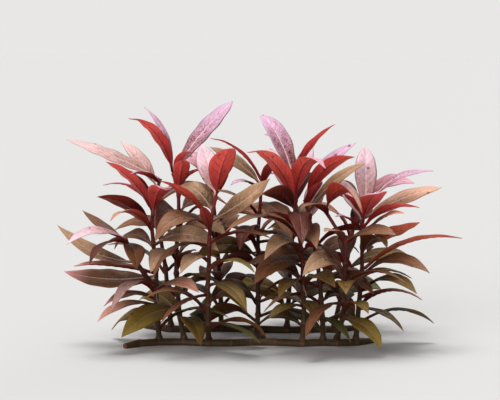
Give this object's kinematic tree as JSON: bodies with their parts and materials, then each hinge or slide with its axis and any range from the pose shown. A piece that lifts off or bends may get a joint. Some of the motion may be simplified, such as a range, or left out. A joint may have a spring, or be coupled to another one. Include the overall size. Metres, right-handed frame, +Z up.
{
  "type": "red-leaved aquarium stem plant",
  "caption": "Bushy clump of a red and pink aquarium stem plant, with long-tipped leaves in opposite pairs on upright stems, cut off flat at the ground.",
  "frame": {"origin": "on the ground, on the flat cut underside of the front creeping stem, under the middle of the clump", "axes": "+X to the right along the clump's width, +Y to the back, +Z up along the stems"},
  "size_m": [0.2904, 0.1702, 0.1753],
  "materials": {
    "leaf_red": "soft satin leaf skin",
    "stem_brown": "smooth dark stem"
  },
  "bodies": {
    "root": {"leaf_01": "leaf_red", "leaf_02": "leaf_red", "leaf_03": "leaf_red", "leaf_04": "leaf_red", "leaf_05": "leaf_red", "leaf_06": "leaf_red", "leaf_07": "leaf_red", "leaf_08": "leaf_red", "leaf_09": "leaf_red", "leaf_10": "leaf_red", "leaf_11": "leaf_red", "leaf_12": "leaf_red", "leaf_13": "leaf_red", "leaf_14": "leaf_red", "leaf_15": "leaf_red", "leaf_16": "leaf_red", "leaf_17": "leaf_red", "leaf_18": "leaf_red", "leaf_19": "leaf_red", "leaf_20": "leaf_red", "leaf_21": "leaf_red", "leaf_22": "leaf_red", "leaf_23": "leaf_red", "leaf_24": "leaf_red", "leaf_25": "leaf_red", "leaf_26": "leaf_red", "leaf_27": "leaf_red", "leaf_28": "leaf_red", "leaf_29": "leaf_red", "leaf_30": "leaf_red", "leaf_31": "leaf_red", "leaf_32": "leaf_red", "leaf_33": "leaf_red", "leaf_34": "leaf_red", "leaf_35": "leaf_red", "leaf_36": "leaf_red", "leaf_37": "leaf_red", "leaf_38": "leaf_red", "leaf_39": "leaf_red", "leaf_40": "leaf_red", "leaf_41": "leaf_red", "leaf_42": "leaf_red", "leaf_43": "leaf_red", "leaf_44": "leaf_red", "stem_01": "stem_brown", "stem_02": "stem_brown", "stem_03": "stem_brown", "stem_04": "stem_brown", "stem_05": "stem_brown", "stem_06": "stem_brown", "stem_07": "stem_brown", "stem_08": "stem_brown", "stem_09": "stem_brown", "stem_10": "stem_brown", "stem_11": "stem_brown", "stem_12": "stem_brown", "stem_13": "stem_brown", "runner_front": "stem_brown", "runner_link": "stem_brown", "runner_back": "stem_brown"}
  },
  "joints": []
}
